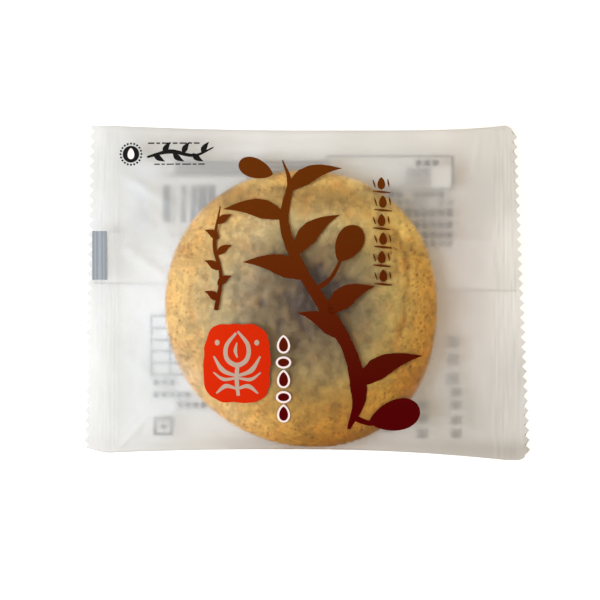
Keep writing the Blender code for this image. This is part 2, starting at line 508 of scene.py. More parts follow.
def add_film(material):
    """The wrapper's front and back film as one closed skin."""
    x, y = film_grid()
    film = film_piece("film", x, y, film_height(x, y, -1), film_height(x, y, 1), material)
    values = {
        "free": free_share(x, y),
        "frost": frost(x, y),
        "fold": painted_fold_shade(x, y),
        "painted_light": soft_places(x, y, PAINTED_LIGHT_PATCHES) + painted_rib_streaks(x, y),
        "painted_warm_shade": soft_places(x, y, PAINTED_WARM_SHADE_PLACES),
    }
    for name, value in values.items():
        add_values(film, name, np.tile(value.ravel(), 2))
    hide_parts("sealed_pack")


FLAP_ROWS = (0.0, 0.3, 0.7, 1.1, 2.0, 4.0, 6.0, 8.0, 10.0, 12.0, 12.5, FLAP_WIDTH)
FLAP_COLUMNS = 240
FLAP_INSET = 1.2
FLAP_DROP = 0.1
FLAP_GAP = 0.02
SEAM_EDGE_SHADOW_WIDTH = 0.5


def add_flap(material):
    """The long seam's two film edges, folded flat against the back."""
    off_seam = np.array(FLAP_ROWS)[:, None]
    x = np.linspace(LEFT_CUT_X + FLAP_INSET, RIGHT_CUT_X - FLAP_INSET, FLAP_COLUMNS) + 0 * off_seam
    y = seam(x) + off_seam
    above = film_height(x, y, -1, wavy=False)
    outer = np.maximum(above - BOTTOM_CLEARANCE - FLAP_DROP, 0.0) + FLAP_CLEARANCE
    outer = np.minimum(outer, above - FLAP_FILM - FLAP_GAP)
    outer = np.maximum(outer, FLAP_CLEARANCE)
    flap = film_piece("seam_flap", x, y, outer, outer + FLAP_FILM, material)
    # Painted shadow: a darker line along the seam's folded edge, stored as crease
    crease = np.exp(-((off_seam / SEAM_EDGE_SHADOW_WIDTH) ** 2)) + 0 * x
    add_values(flap, "crease", np.tile(crease.ravel(), 2))


# Cookie

COOKIE_CELLS = 268
RING_CROWDING = 1.12
UNDER_RINGS = 10
HOLLOW_X = 1.8
HOLLOW_Y = -1.8
HOLLOW_REACH_X = 13.0
HOLLOW_REACH_Y = 13.5
CRUMB_RELIEF = 0.13
GRAIN_SIZE = 1.7
PIT_DEPTH = 0.32
PIT_SPACING = 1.05
SWELL_RELIEF = 0.1
MIDDLE_RELIEF = 0.5
CORE_RELIEF = 0.45
CORE_DROP = 0.35
RIM_PUSH = 0.6
CALM_PLACES = (
    # middle, reach and share of the place where the film has pressed the crust smoother
    ((11.5, 18.5), (9.0, 9.0), 0.7),
)
GROOVES = (
    # places along each soft groove in the crust, its depth and width
    (((21.0, 16.0), (23.6, 13.0), (25.3, 7.6), (25.7, 3.1), (25.2, -1.9), (24.1, -8.1),
      (22.4, -11.9)), 0.3, 1.0),
    (((-26.0, 9.6), (-27.8, 5.6), (-28.9, 0.4), (-28.2, -5.6), (-26.4, -10.4)), 0.22, 0.9),
    (((23.4, 14.6), (25.0, 8.0)), 0.22, 0.5),
    (((25.6, 6.4), (25.2, 0.0)), 0.24, 0.5),
    (((22.4, 8.0), (23.0, 3.0)), 0.18, 0.7),
    (((-28.4, 2.0), (-28.8, -3.4)), 0.26, 0.6),
    (((-30.4, 5.6), (-31.0, 1.4)), 0.16, 0.5),
)


def nearest_grain(place):
    """Distance from a place to the middle of its nearest grain."""
    return noise.voronoi(place)[0][0]


def crumb(places):
    """Height of the crumb's relief at places in mm, between about -1 and 1."""
    grain = np.minimum(noises(places, GRAIN_SIZE, kind=nearest_grain) * 1.5, 1.0)
    return 0.5 * (0.55 - grain) + 0.35 * noises(places, 3.4) + 0.3 * noises(places, 0.8)


def pits(places, rim):
    """Depth of the small pits, thicker towards the rim; the crust's colour darkens with it as
    painted shade.
    """
    distance = noises(places, PIT_SPACING, (9, 4, 2), nearest_grain)
    chance = 0.5 + 0.5 * noises(places, PIT_SPACING, (3, 1, 5), noise.cell)
    size = 0.22 + 0.2 * rim + 0.14 * noises(places, 4.0, (20, 0, 0))
    depth = np.maximum(0, 1 - distance / np.maximum(size, 0.05))
    return depth * (0.3 + 0.7 * chance) * (0.4 + 0.6 * rim)


def line_distance(x, y, line):
    """Distance of places from a line of straight runs."""
    best = np.full(x.shape, FAR)
    for (x0, y0), (x1, y1) in zip(line[:-1], line[1:]):
        run_x, run_y = x1 - x0, y1 - y0
        share = np.clip(((x - x0) * run_x + (y - y0) * run_y) / (run_x**2 + run_y**2), 0, 1)
        best = np.minimum(best, np.hypot(x - x0 - share * run_x, y - y0 - share * run_y))
    return best


def hollow(x, y):
    """0 to 1 over the broken-open middle where the chocolate shows."""
    flat = np.stack((x, y, np.zeros_like(x)), axis=1)
    reach = np.hypot((x - HOLLOW_X) / HOLLOW_REACH_X, (y - HOLLOW_Y) / HOLLOW_REACH_Y)
    wobble = 0.55 * noises(flat, 4.5, (0, 0, 4)) + 0.4 * noises(flat, 2.0, (0, 0, 8))
    return smooth((0.98 + wobble - reach) / 0.8)


def disc_grid(cells):
    """Points of a square grid drawn out to a unit disc, evenly spaced."""
    line = np.linspace(-1, 1, cells + 1)
    a, b = np.meshgrid(line, line)
    wide = np.abs(a) >= np.abs(b)
    radius = np.where(wide, a, b)
    safe = np.where(np.abs(radius) > 1e-9, radius, 1.0)
    turn = np.where(wide, pi / 4 * b / safe, pi / 2 - pi / 4 * a / safe)
    return radius * np.cos(turn), radius * np.sin(turn)


def crust(turns, radii, heights, upper):
    """Points of the cookie's skin with its relief, how deep each lies in a pit or groove, which
    the crust's colour darkens as painted shade, and how far into the dark middle each is.
    """
    along, across = np.cos(turns), np.sin(turns)
    share = radii / COOKIE_RADIUS
    ring = np.stack((along, across, np.ones_like(along)), axis=1)
    uneven = noises(ring, 1 / 1.6) + 0.5 * noises(ring, 1 / 4.5)
    scale = 1 + (outline(along, across) - 1 + 0.005 * uneven) * share * share
    x, y = COOKIE_X + radii * along * scale, COOKIE_Y + radii * across * scale
    places = np.stack((x, y, heights), axis=1)
    rim = smooth((share - 0.55) / 0.4)
    pit = pits(places, rim)
    calm = 1 - soft_places(x, y, CALM_PLACES)
    rough = calm * (1 + 0.3 * rim * smooth(along))
    relief = rough * (CRUMB_RELIEF * crumb(places) - PIT_DEPTH * pit)
    relief = relief + SWELL_RELIEF * noises(places, 7.5)
    pit = pit * rough
    core = np.zeros_like(x)
    if upper:
        lumps = noises(places, 2.6, (5, 0, 0))
        relief += MIDDLE_RELIEF * calm * sink_share(radii) * lumps
        core = hollow(x, y)
        relief += core * (CORE_RELIEF * noises(places, 1.6) - CORE_DROP)
        bent = 0.7 * noises(places, 2.4, (11, 0, 0))
        worn = 0.8 + 0.7 * noises(places, 3.0, (17, 0, 0))
        for line, depth, width in GROOVES:
            groove = worn * np.exp(-((line_distance(x + bent, y, line) / width) ** 2))
            relief -= depth * groove
            # Painted shade: grooves darken the crust through the same pit value
            pit = np.maximum(pit, 1.1 * depth * groove)
        out = smooth((share - 0.8) / 0.2)
    else:
        relief *= 0.4 * smooth((radii - BASE_RADIUS) / 3.0)
        out = smooth((heights - COOKIE_BASE_GAP) / 2.0)
    x = x + along * out * relief * RIM_PUSH
    y = y + across * out * relief * RIM_PUSH
    return np.stack((x, y, heights + relief * (1 - 0.5 * out)), axis=1), pit, core


def held_by_film(points):
    """Keeps the cookie's points between the front and the back film."""
    x, y, z = points.T
    front = film_height(x, y, 1) - FILM_GAP
    back = film_height(x, y, -1) + FILM_GAP
    middle = (front + back) / 2
    z = np.clip(z, np.minimum(back, middle), np.maximum(front, middle))
    return np.stack((x, y, z), axis=1)


def lower_rings():
    """Radius and height of the rings from the cookie's waist down and in under it."""
    fall = WAIST_HEIGHT - COOKIE_GAP - COOKIE_BASE_GAP
    rings = []
    for step in range(1, UNDER_RINGS + 1):
        turn = pi / 2 * step / UNDER_RINGS
        radius = BASE_RADIUS + (COOKIE_RADIUS - BASE_RADIUS) * cos(turn)
        rings.append((radius, WAIST_HEIGHT - COOKIE_GAP - fall * sin(turn)))
    return rings + [(BASE_RADIUS * share, COOKIE_BASE_GAP) for share in (0.8, 0.55, 0.3, 0.1)]


def add_cookie(material):
    grid_x, grid_y = disc_grid(COOKIE_CELLS)
    share = np.hypot(grid_x, grid_y).ravel()
    turns = np.arctan2(grid_y, grid_x).ravel()
    # The dome falls steeply at its rim, so the grid's rings crowd towards it
    radii = COOKIE_RADIUS * (1 - (1 - share) ** RING_CROWDING)
    parts = [crust(turns, radii, cookie_top(radii), True)]
    side = COOKIE_CELLS + 1
    faces = grid_faces(side, side)
    ring = grid_rim(side, side)
    edge_turns, even = turns[ring], np.ones(len(ring))
    count = side * side
    for radius, height in lower_rings():
        parts.append(crust(edge_turns, radius * even, height * even, False))
        after = list(range(count, count + len(ring)))
        for (a, b), (c, d) in zip(neighbours(ring), neighbours(after)):
            faces.append((a, c, d, b))
        count += len(ring)
        ring = after
    parts.append((np.array([(COOKIE_X, COOKIE_Y, COOKIE_BASE_GAP)]), np.zeros(1), np.zeros(1)))
    faces += [(a, count, b) for a, b in neighbours(ring)]
    points, pit, core = (np.concatenate(part) for part in zip(*parts))
    cookie = mesh_object("cookie", held_by_film(points), faces, material)
    add_values(cookie, "pit", pit)
    add_values(cookie, "core", core)


# Ink

INK_LIFT = 0.03
OVERPRINT_LIFT = 0.05
INK_STEP = 0.004
INK_LEVELS = 5
ACROSS = 7
ALONG_STEP = 0.3
OVAL_ROWS = 15
BAR_CELL = 0.5
CURVE_STEPS = 24


def turned(along, across, angle, centre):
    """Places turned by an angle in degrees and moved to centre."""
    turn = radians(angle)
    x = centre[0] + along * cos(turn) - across * sin(turn)
    y = centre[1] + along * sin(turn) + across * cos(turn)
    return x, y


class Ink:
    """Flat shapes laid on the front (side 1) or back (side -1) film, gathered into one mesh."""

    def __init__(self, side=1, lift=INK_LIFT):
        self.side = side
        self.lift = lift
        self.points = []
        self.faces = []
        self.level = 0

    def add_grid(self, x, y):
        """Adds one shape as a grid of places, a step above the one before it."""
        z = film_height(x, y, self.side) + (self.lift + INK_STEP * self.level)
        start = len(self.points)
        self.points += zip(x.ravel(), y.ravel(), z.ravel())
        self.faces += grid_faces(*x.shape, start)
        self.level = (self.level + 1) % INK_LEVELS

    def stroke(self, places, widths, rough=0.0, seed=0.0):
        """A brush stroke along a smooth line through places, as wide as widths say."""
        line = smooth_line(places, ALONG_STEP)
        share = np.linspace(0, 1, len(line))
        given = np.linspace(0, 1, len(widths))
        half = np.interp(share, given, widths) / 2
        heading = np.gradient(line, axis=0)
        heading /= np.linalg.norm(heading, axis=1)[:, None]
        normal = np.stack((-heading[:, 1], heading[:, 0]), axis=1)
        side = np.linspace(-1, 1, ACROSS)[:, None]
        wobble = np.ones((ACROSS, len(line)))
        if rough:
            for row, shift in ((0, -1), (-1, 1)):
                wobble[row] += rough * waves(line[:, 0], line[:, 1], seed + shift, 1.3)
        x = line[:, 0] + side * half * normal[:, 0] * wobble
        y = line[:, 1] + side * half * normal[:, 1] * wobble
        self.add_grid(x, y)

    def leaf(self, base, angle, length, width, bend=0.0, rough=0.05):
        """A pointed leaf from its base, its angle in degrees."""
        places = []
        for share in np.linspace(0, 1, 5):
            off = bend * sin(pi * share) * length
            places.append(turned(share * length, off, angle, base))
        widths = [width * share for share in (0.25, 0.72, 1.0, 0.9, 0.62, 0.3)] + [0.03]
        self.stroke(places, widths, rough, base[0])

    def almond(self, centre, angle, length, width):
        """A teardrop with a round foot and a pointed tip."""
        share = np.linspace(0, 1, max(int(length / 0.2), 20)) ** 2
        half = width / 2 * np.sqrt(np.clip(share, 0, 1)) * (1 - share) ** 0.75 * 2.35
        side = np.linspace(-1, 1, ACROSS)[:, None]
        along = (share - 0.45) * length + 0 * side
        self.add_grid(*turned(along, side * half, angle, centre))

    def oval(self, centre, radius_x, radius_y, power=2.0, rough=0.0):
        """A filled oval, squarer with a higher power."""
        count = max(int(radius_x / 0.2), 10) * 2
        turn = np.linspace(0, pi, count)
        cosine = -np.cos(turn)
        along = np.sign(cosine) * np.abs(cosine) ** (2 / power)
        half = np.sin(turn) ** (2 / power)
        side = np.linspace(-1, 1, OVAL_ROWS)[:, None]
        x = centre[0] + radius_x * along + 0 * side
        y = centre[1] + radius_y * half * side
        if rough:
            reach = 1 + rough * waves(x, y, 5.0, 2.4)
            x = centre[0] + (x - centre[0]) * reach
            y = centre[1] + (y - centre[1]) * reach
        self.add_grid(x, y)

    def bar(self, low, high):
        """An upright rectangle between two corners."""
        (x0, y0), (x1, y1) = low, high
        columns = max(int((x1 - x0) / BAR_CELL), 1) + 1
        rows = max(int((y1 - y0) / BAR_CELL), 1) + 1
        self.add_grid(*np.meshgrid(np.linspace(x0, x1, columns), np.linspace(y0, y1, rows)))

    def frame(self, low, high, line):
        """The outline of a rectangle."""
        (x0, y0), (x1, y1) = low, high
        self.bar((x0, y0), (x1, y0 + line))
        self.bar((x0, y1 - line), (x1, y1))
        self.bar((x0, y0 + line), (x0 + line, y1 - line))
        self.bar((x1 - line, y0 + line), (x1, y1 - line))

    def object(self, name, material, slot):
        mesh_object(name, self.points, self.faces, material)


def smooth_line(places, step):
    """Even points along a Catmull-Rom curve through places."""
    p = np.array(places, float)
    p = np.vstack((2 * p[0] - p[1], p, 2 * p[-1] - p[-2]))
    fine = []
    for a, b, c, d in zip(p[:-3], p[1:-2], p[2:-1], p[3:]):
        for t in np.linspace(0, 1, CURVE_STEPS, endpoint=False):
            fine.append(0.5 * (
                2 * b + (c - a) * t + (2 * a - 5 * b + 4 * c - d) * t**2
                + (3 * b - a - 3 * c + d) * t**3
            ))
    fine.append(p[-2])
    fine = np.array(fine)
    length = np.concatenate(([0], np.cumsum(np.linalg.norm(np.diff(fine, axis=0), axis=1))))
    count = max(int(length[-1] / step), 4)
    places = np.linspace(0, length[-1], count + 1)
    return np.stack([np.interp(places, length, part) for part in fine.T], axis=1)


# Print design

STEM = (
    (10.5, -34.0), (13.0, -26.0), (10.8, -15.0), (5.0, -4.5),
    (-1.5, 6.0), (-5.5, 17.0), (-4.2, 27.0), (-6.0, 33.0),
)
STEM_WIDTHS = (0.8, 4.2, 3.2, 3.4, 2.6, 2.6, 2.0, 0.3)
LEAVES = (
    # base, angle, length, width and bend
    ((12.4, -23.0), 24, 18.0, 5.6, 0.1),
    ((9.0, -11.5), 150, 13.0, 4.8, -0.12),
    ((5.6, -5.0), 30, 13.0, 5.4, 0.12),
    ((0.2, 3.5), 166, 16.5, 5.4, -0.1),
    ((-2.6, 9.5), 42, 14.5, 5.0, 0.12),
    ((-5.4, 18.5), 172, 15.5, 4.8, -0.1),
    ((-4.6, 25.5), 22, 14.5, 4.4, 0.12),
)
ALMONDS = (
    # middle, angle, length and width
    ((22.5, -30.5), -165, 13.0, 7.8),
    ((10.6, 12.4), 240, 10.0, 6.6),
    ((-13.0, 31.0), -20, 9.0, 5.0),
)
TWIGS = (
    # places and widths
    (((11.5, -31.0), (16.0, -32.6), (20.0, -31.4)), (1.6, 1.2, 0.9)),
    (((2.0, 0.5), (6.0, 3.6), (8.8, 8.6)), (1.4, 1.0, 0.8)),
)


def add_branch(material):
    ink = Ink()
    ink.stroke(STEM, STEM_WIDTHS, 0.07, 1.0)
    for places, widths in TWIGS:
        ink.stroke(places, widths, 0.1, 2.0)
    for leaf in LEAVES:
        ink.leaf(*leaf)
    for almond in ALMONDS:
        ink.almond(*almond)
    ink.object("print_branch", material, "ink_dark")


SPRIG = ((-22.4, -4.4), (-21.2, 4.0), (-22.8, 12.0), (-21.4, 21.4))
SPRIG_WIDTHS = (1.1, 0.9, 1.0, 0.3)
SMALL_MARKS = 6


def add_small_sprigs(material):
    """A fine upright sprig, and a column of small almonds with strokes round them."""
    ink = Ink()
    ink.stroke(SPRIG, SPRIG_WIDTHS, 0.12)
    for i in range(SMALL_MARKS):
        side = 1 if i % 2 else -1
        ink.leaf((-21.9, -2.0 + 3.8 * i), 90 - side * 56, 4.1, 2.0, 0.1 * side)
    for i in range(SMALL_MARKS):
        x, y = 18.6 + 0.35 * (i % 2), 27.0 - 4.6 * i
        ink.almond((x, y), 90, 3.1, 1.9)
        ink.stroke(((x - 2.2, y - 1.8), (x + 2.2, y - 2.2)), (0.25, 0.6, 0.25))
        ink.stroke(((x - 2.1, y + 1.0), (x - 1.5, y - 0.9)), (0.2, 0.45, 0.2))
        ink.stroke(((x + 1.6, y + 1.2), (x + 1.9, y - 0.7)), (0.2, 0.45, 0.2))
    ink.object("print_sprigs", material, "ink_dark")


BADGE_CENTRE = (-17.2, -17.6)


def add_badge(material):
    ink = Ink()
    ink.oval(BADGE_CENTRE, 8.2, 9.8, 3.6, 0.04)
    ink.object("print_badge", material, "ink_red")


MOTIF_MIDDLE = (
    # places and widths of the almond's strokes and its stem
    (((0.2, 8.0), (2.7, 4.6), (2.5, 1.2), (0.0, -0.4), (-2.5, 1.2), (-2.6, 4.4), (-0.2, 7.6)),
     (0.5, 1.0, 1.1, 1.2, 1.1, 1.0, 0.6)),
    (((0.0, 5.2), (-0.4, 3.2), (0.1, 1.5)), (0.3, 0.9, 0.4)),
    (((0.1, -0.4), (-0.1, -4.0), (0.3, -8.0)), (1.0, 1.1, 0.8)),
)
MOTIF_SIDES = (
    # places and widths of the strokes drawn to both sides
    (((0.4, -3.0), (3.6, -1.6), (5.8, 1.8)), (0.7, 1.2, 0.4)),
    (((0.3, -3.6), (3.4, -3.9), (5.9, -2.2)), (0.5, 0.9, 0.3)),
    (((0.2, -6.2), (2.8, -5.6), (5.2, -7.4)), (0.6, 1.1, 0.4)),
)


def add_badge_motif(material):
    """A pale sprouting almond drawn in lines on the badge."""
    x, y = BADGE_CENTRE
    ink = Ink(lift=OVERPRINT_LIFT)
    for side in (-1, 1):
        ink.oval((x + 4.9 * side, y + 5.2), 0.6, 0.7)
    for side, strokes in ((1, MOTIF_MIDDLE), (-1, MOTIF_SIDES), (1, MOTIF_SIDES)):
        for line, widths in strokes:
            ink.stroke([(x + side * along, y + up) for along, up in line], widths, 0.08)
    ink.object("print_badge_motif", material, "ink_white")


LABEL_X = -5.7
LABEL_TOP = -13.0
LABEL_PITCH = 4.3


def add_label(dark, pale):
    """A column of small dark marks with pale edges."""
    edge, mark = Ink(), Ink(lift=OVERPRINT_LIFT)
    for i in range(5):
        place = (LABEL_X, LABEL_TOP - LABEL_PITCH * i)
        if i % 2:
            edge.oval(place, 1.9, 1.5)
            mark.oval(place, 1.4, 1.0)
        else:
            edge.almond(place, 90, 4.6, 3.2)
            mark.almond(place, 90, 3.6, 2.2)
    edge.object("print_label_edge", pale, "ink_white")
    mark.object("print_label", dark, "ink_dark")


EMBLEM_CENTRE = (-43.9, 34.6)
EMBLEM_DOTS = 20
EMBLEM_TWIG = ((-39.8, 33.8), (-34.0, 35.2), (-28.0, 34.2), (-23.2, 36.2))
DASHES = (1.6, 0.9, 2.2, 1.2, 1.8, 0.8, 1.4)


def add_emblem(material, pale):
    """A small round mark with an almond, and a twig between two rows of dashes beside it."""
    ink, inner = Ink(), Ink(lift=OVERPRINT_LIFT)
    ink.oval(EMBLEM_CENTRE, 2.1, 2.1)
    for i in range(EMBLEM_DOTS):
        ink.oval(turned(2.65, 0.0, 360 / EMBLEM_DOTS * i, EMBLEM_CENTRE), 0.26, 0.26)
    inner.almond(EMBLEM_CENTRE, 90, 2.8, 1.7)
    add_dashes(ink, -39.6, 37.3, DASHES, 0.5, 0.35)
    ink.stroke(EMBLEM_TWIG, (0.5, 1.1, 0.8, 0.3), 0.15)
    for i in range(6):
        side = 1 if i % 2 else -1
        ink.leaf((-38.0 + 2.4 * i, 34.7), 12 + side * 48, 3.4, 1.5, 0.08 * side)
    add_dashes(ink, -38.0, 32.0, DASHES[::-1], 0.45, 0.3)
    ink.object("print_emblem", material, "ink_dark")
    inner.object("print_emblem_almond", pale, "ink_white")


def add_dashes(ink, x, y, lengths, gap, width):
    """A row of dashes that starts at x."""
    for length in lengths:
        ink.stroke(((x, y), (x + length, y)), (width, width))
        x += length + gap


EDGE_LOW = 3.2
EDGE_HIGH = 15.4
EDGE_RIB_HIGHLIGHTS = ((-53.1, 0.35), (-52.2, 0.8), (-50.9, 0.25))


def add_edge_mark(material, pale):
    """The plain register block across the left seal, with paler lines painted on it as highlights
    of the seal's ribs.
    """
    ink, lines = Ink(), Ink(lift=OVERPRINT_LIFT)
    ink.bar((-53.7, EDGE_LOW), (-50.0, EDGE_HIGH))
    # Painted highlights: paler lines where the seal's ribs catch the light
    for x, width in EDGE_RIB_HIGHLIGHTS:
        lines.bar((x, EDGE_LOW), (x + width, EDGE_HIGH))
    ink.object("print_edge_mark", material, "ink_grey")
    lines.object("painted_rib_highlights", pale, "ink_grey")


BARCODE_LEFT = -36.0
BARCODE = (
    # offset and width of each bar
    (0.0, 1.9), (2.6, 0.4), (4.5, 1.4), (7.0, 1.5), (8.8, 2.3), (11.4, 1.8),
)
TEXT_ROWS = (
    # middle and height of each row, whether it is dark, and which of its blocks are left out
    (24.6, 1.5, True, 1),
    (22.6, 1.1, False, 2),
    (20.1, 2.2, True, 0),
    (17.1, 1.7, True, 0),
    (14.5, 1.6, True, 3),
    (12.3, 1.4, False, 0),
)
TABLE_LINES = (-5.8, -8.9, -11.9, -14.7, -17.7, -20.6)
TABLE_TEXT = (
    # left and right end and middle of each row
    (-38.3, -31.6, -22.6),
    (-38.4, -27.4, -25.7),
    (-32.4, -23.4, -28.2),
)
BLOCK_COLUMNS = (
    # left edge of each column, the height of its blocks and their tops
    (35.1, 3.1, (-11.0, -15.5, -20.2)),
    (35.9, 2.2, (-24.0, -27.2, -31.0, -34.3)),
    (27.5, 2.4, (-27.2, -30.4, -34.2)),
    (19.2, 2.4, (-32.6,)),
)


def add_back_print(dark, soft, pale):
    """Plain bars, boxes and blocks on the back film."""
    white, grey, faint = Ink(-1), Ink(-1, OVERPRINT_LIFT), Ink(-1, OVERPRINT_LIFT)
    white.bar((-40.0, 14.5), (-15.0, 28.9))
    white.bar((31.4, 26.4), (36.6, 31.9))
    for offset, width in BARCODE:
        x = BARCODE_LEFT + offset
        faint.bar((x, 17.6), (x + width, 27.0))
    for y in (29.8, 31.0, 32.2):
        faint.bar((-33.0, y), (4.5, y + 0.7))
    for y in (27.6, 29.2, 30.4):
        faint.bar((24.8, y), (31.0, y + 0.6))
    faint.frame((5.0, 25.9), (37.0, 34.4), 0.4)
    grey.bar((36.4, 26.2), (37.0, 34.0))
    for column in range(3):
        grey.bar((27.4 + 2.1 * column, 31.8), (28.9 + 2.1 * column, 33.2))
    for y, tall, is_dark, skipped in TEXT_ROWS:
        for column in range(9):
            if skipped == 0 or (column * 3 + skipped) % 5:
                x = 18.4 + 2.1 * column
                (grey if is_dark else faint).bar((x, y - tall / 2), (x + 1.45, y + tall / 2))
    for y in TABLE_LINES:
        faint.bar((-39.1, y - 0.25), (-26.0, y + 0.25))
    grey.bar((-39.1, -20.8), (-38.7, -5.6))
    faint.bar((-34.3, -20.8), (-33.8, -5.6))
    for left, right, y in TABLE_TEXT:
        for column in range(int((right - left) / 2.0)):
            x = left + 2.0 * column
            grey.bar((x, y - 0.7), (x + 1.25, y + 0.7))
    faint.frame((-38.4, -35.9), (-33.4, -31.2), 0.8)
    faint.oval((-35.9, -33.6), 0.8, 0.7)
    for x, tall, tops in BLOCK_COLUMNS:
        for i, top in enumerate(tops):
            for part in range(3):
                y = top - tall * part / 3
                faint.bar((x + 0.3 * ((i + part) % 2), y - 0.24 * tall), (x + 3.1, y))
            if tall < 3:
                faint.bar((x + 1.1, top - tall), (x + 1.9, top))
    white.object("back_panels", pale, "ink_white")
    grey.object("back_print", dark, "ink_grey")
    faint.object("back_print_faint", soft, "ink_grey")


# Materials

class Nodes:
    """A material's nodes, laid out in millimetres of object coordinates."""

    def __init__(self, name):
        self.material = bpy.data.materials.new(name)
        self.material.use_nodes = True
        self.tree = self.material.node_tree
        self.shader = self.tree.nodes["Principled BSDF"]
        self.place = self.vector("SCALE", self.new("TexCoord", {}, "Object"), 1 / MM)

    def feed(self, node, values):
        """Links each value that is another node's output, and sets each plain one."""
        for key, value in values.items():
            socket = node.inputs[key]
            if isinstance(value, bpy.types.NodeSocket):
                self.tree.links.new(value, socket)
            else:
                socket.default_value = (*value, 1.0) if socket.type == "RGBA" else value

    def new(self, kind, values, output=0, **settings):
        """Adds a node and returns one of its outputs."""
        node = self.tree.nodes.new("ShaderNode" + kind)
        for name, setting in settings.items():
            setattr(node, name, setting)
        self.feed(node, values)
        return node.outputs[output]

    def vector(self, operation, first, second):
        """One step of vector arithmetic."""
        values = {0: first, "Scale" if operation == "SCALE" else 1: second}
        output = "Value" if operation == "DOT_PRODUCT" else "Vector"
        return self.new("VectorMath", values, output, operation=operation)

    def length(self, place):
        return self.new("VectorMath", {0: place}, "Value", operation="LENGTH")

    def part(self, axis):
        return self.new("SeparateXYZ", {0: self.place}, axis)

    def noise(self, size, detail=2.0, rough=0.5, offset=None):
        moved = self.vector("ADD", self.place, (offset, 0, 0)) if offset else self.place
        values = {"Vector": moved, "Scale": 1 / size, "Detail": detail, "Roughness": rough}
        return self.new("TexNoise", values, "Fac")

    def ramp(self, source, low, high, to_low=0.0, to_high=1.0):
        """Maps low..high smoothly to to_low..to_high."""
        values = {0: source, 1: low, 2: high, 3: to_low, 4: to_high}
        return self.new("MapRange", values, "Result", interpolation_type="SMOOTHSTEP")

    def mix(self, share, first, second, blend="MIX"):
        values = {0: share, 6: first, 7: second}
        return self.new("Mix", values, 2, data_type="RGBA", blend_type=blend)

    def attribute(self, name):
        return self.new("Attribute", {}, "Fac", attribute_name=name)

    def maths(self, operation, first, second):
        return self.new("Math", {0: first, 1: second}, operation=operation)

    def bump(self, height, distance, strength):
        values = {"Height": height, "Distance": distance * MM, "Strength": strength}
        return self.new("Bump", values, "Normal")


SHADOW_TINT = (0.85, 0.85, 0.85)
FLAP_SHADOW_TINT = (0.98, 0.98, 0.98)


def let_light_through(n, tint):
    """Lets lamps and bounced light straight through a film, dimmed by tint."""
    clear = n.new("BsdfTransparent", {"Color": tint})
    shader = n.shader.outputs[0]
    for kind in ("Is Shadow Ray", "Is Diffuse Ray"):
        shader = n.new("MixShader", {0: n.new("LightPath", {}, kind), 1: shader, 2: clear})
    n.feed(n.tree.nodes["Material Output"], {"Surface": shader})


def film_material():
    """Frosted film: clear where it lies on the cookie, a white veil where it hangs free."""
    n = Nodes("frosted_film")
    tone = n.mix(n.ramp(n.noise(16.0), 0.35, 0.65), (0.61, 0.605, 0.585), (0.65, 0.645, 0.63))
    # Painted shade: the film's tone turns greyer along its long folds
    tone = n.mix(n.attribute("fold"), tone, (0.5, 0.48, 0.45))
    # Painted shade: a warmer tint where the film lies in shade
    tone = n.mix(n.attribute("painted_warm_shade"), tone, PAINTED_WARM_SHADE_TINT, "MULTIPLY")
    patchy = n.ramp(n.noise(5.0), 0.3, 0.7, 0.85, 1.0)
    uneven = n.maths("MULTIPLY", n.attribute("free"), patchy)
    n.feed(n.shader, {
        # Painted light and painted shade: patches and seal-rib streaks make the film's tone
        # brighter or darker
        "Base Color": n.vector("SCALE", tone, n.maths("ADD", n.attribute("painted_light"), 1.0)),
        "Transmission Weight": n.ramp(uneven, 0.0, 1.0, 0.995, 0.82),
        "Coat Weight": n.ramp(uneven, 0.0, 1.0, 0.05, 0.5),
        "Coat Roughness": 0.32,
        "Coat IOR": 1.45,
        "Roughness": n.attribute("frost"),
        "IOR": 1.2,
        "Normal": n.bump(n.noise(1.1), 0.05, 0.4),
    })
    let_light_through(n, SHADOW_TINT)
    return n.material


def flap_material():
    """The folded seam behind the back film, hardly darker than the film alone."""
    n = Nodes("seam_film")
    tone = n.mix(n.noise(7.0), (0.95, 0.95, 0.945), (0.99, 0.99, 0.985))
    n.feed(n.shader, {
        # Painted shadow: the film is darker along the seam's folded edge
        "Base Color": n.mix(n.attribute("crease"), tone, (0.62, 0.61, 0.6)),
        "Transmission Weight": n.ramp(n.noise(3.0), 0.3, 0.7, 0.6, 0.66),
        "Roughness": 0.5,
        "IOR": 1.15,
    })
    let_light_through(n, FLAP_SHADOW_TINT)
    return n.material


